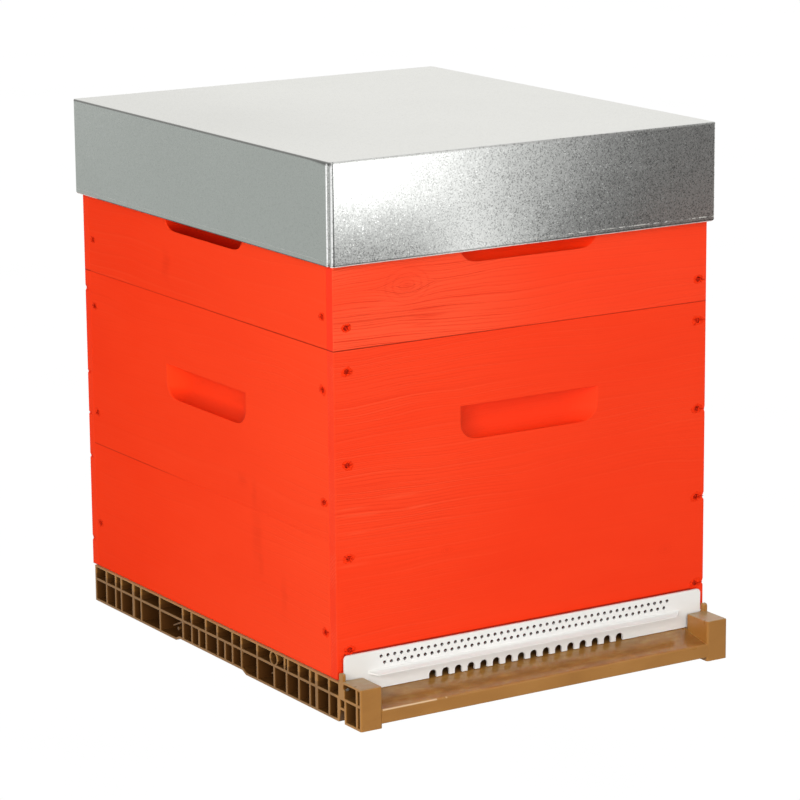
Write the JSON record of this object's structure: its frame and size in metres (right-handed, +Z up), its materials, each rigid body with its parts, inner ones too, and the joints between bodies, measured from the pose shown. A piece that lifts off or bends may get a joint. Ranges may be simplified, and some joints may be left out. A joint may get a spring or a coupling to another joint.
{
  "type": "dadant beehive",
  "caption": "Wooden box beehive with brood body, honey super, sheet metal roof, framed combs inside and a ribbed plastic floor with landing board, entrance reducer and sliding tray.",
  "frame": {"origin": "on the ground, in the middle of the overall box", "axes": "+Z up, the entrance and landing board face -Y, +X to the right seen from the front"},
  "size_m": [0.44, 0.552, 0.5337],
  "materials": {
    "painted_wood": "softwood boards, brushed orange-red hive paint outside, bare inside",
    "frame_wood": "planed bare softwood",
    "crown_wood": "bare plywood",
    "galvanised_sheet": "hot-dip galvanised, fine spangle",
    "steel": "zinc-plated steel",
    "wax": "pressed beeswax foundation",
    "brown_plastic": "satin injection-moulded polypropylene",
    "tray_plastic": "satin plastic",
    "white_plastic": "satin injection-moulded plastic"
  },
  "bodies": {
    "floor": {"floor_moulding": "brown_plastic", "vent_grid": "brown_plastic"},
    "varroa_tray": {"varroa_tray_sheet": "tray_plastic", "varroa_tray_rim": "tray_plastic", "varroa_tray_face": "tray_plastic"},
    "entrance_reducer": {"entrance_reducer": "white_plastic"},
    "brood_body": {"body_front_wall": "painted_wood", "body_rear_wall": "painted_wood", "body_left_lower_plank": "painted_wood", "body_left_upper_plank": "painted_wood", "body_right_lower_plank": "painted_wood", "body_right_upper_plank": "painted_wood", "body_corner_screws": "steel", "brood_frame_rests": "galvanised_sheet", "brood_rest_nails": "steel", "brood_bottom_spacers": "galvanised_sheet", "brood_spacer_nails": "steel", "brood_top_bars": "frame_wood", "brood_side_bars": "frame_wood", "brood_bottom_bars": "frame_wood", "brood_frame_nails": "steel", "brood_frame_wires": "steel", "brood_foundation": "wax"},
    "honey_super": {"super_front_wall": "painted_wood", "super_rear_wall": "painted_wood", "super_left_wall": "painted_wood", "super_right_wall": "painted_wood", "super_corner_screws": "steel", "super_frame_rests": "galvanised_sheet", "super_rest_nails": "steel", "super_top_bars": "frame_wood", "super_side_bars": "frame_wood", "super_bottom_bars": "frame_wood", "super_frame_nails": "steel", "super_frame_wires": "steel", "super_foundation": "wax"},
    "crown_board": {"crown_board_panel": "crown_wood", "crown_board_plug": "crown_wood"},
    "roof": {"roof_sheet": "galvanised_sheet"}
  },
  "joints": [
    {"name": "body_lift", "type": "slide", "parent": "floor", "child": "brood_body", "axis": [0, 0, 1], "range_m": [0, 0.2]},
    {"name": "super_lift", "type": "slide", "parent": "brood_body", "child": "honey_super", "axis": [0, 0, 1], "range_m": [0, 0.25]},
    {"name": "crown_board_lift", "type": "slide", "parent": "honey_super", "child": "crown_board", "axis": [0, 0, 1], "range_m": [0, 0.12]},
    {"name": "roof_lift", "type": "slide", "parent": "crown_board", "child": "roof", "axis": [0, 0, 1], "range_m": [0, 0.25]},
    {"name": "entrance_reducer_lift", "type": "slide", "parent": "floor", "child": "entrance_reducer", "axis": [0, 0, 1], "range_m": [0, 0.06]},
    {"name": "varroa_tray_slide", "type": "slide", "parent": "floor", "child": "varroa_tray", "axis": [0, 1, 0], "range_m": [0, 0.42]}
  ]
}
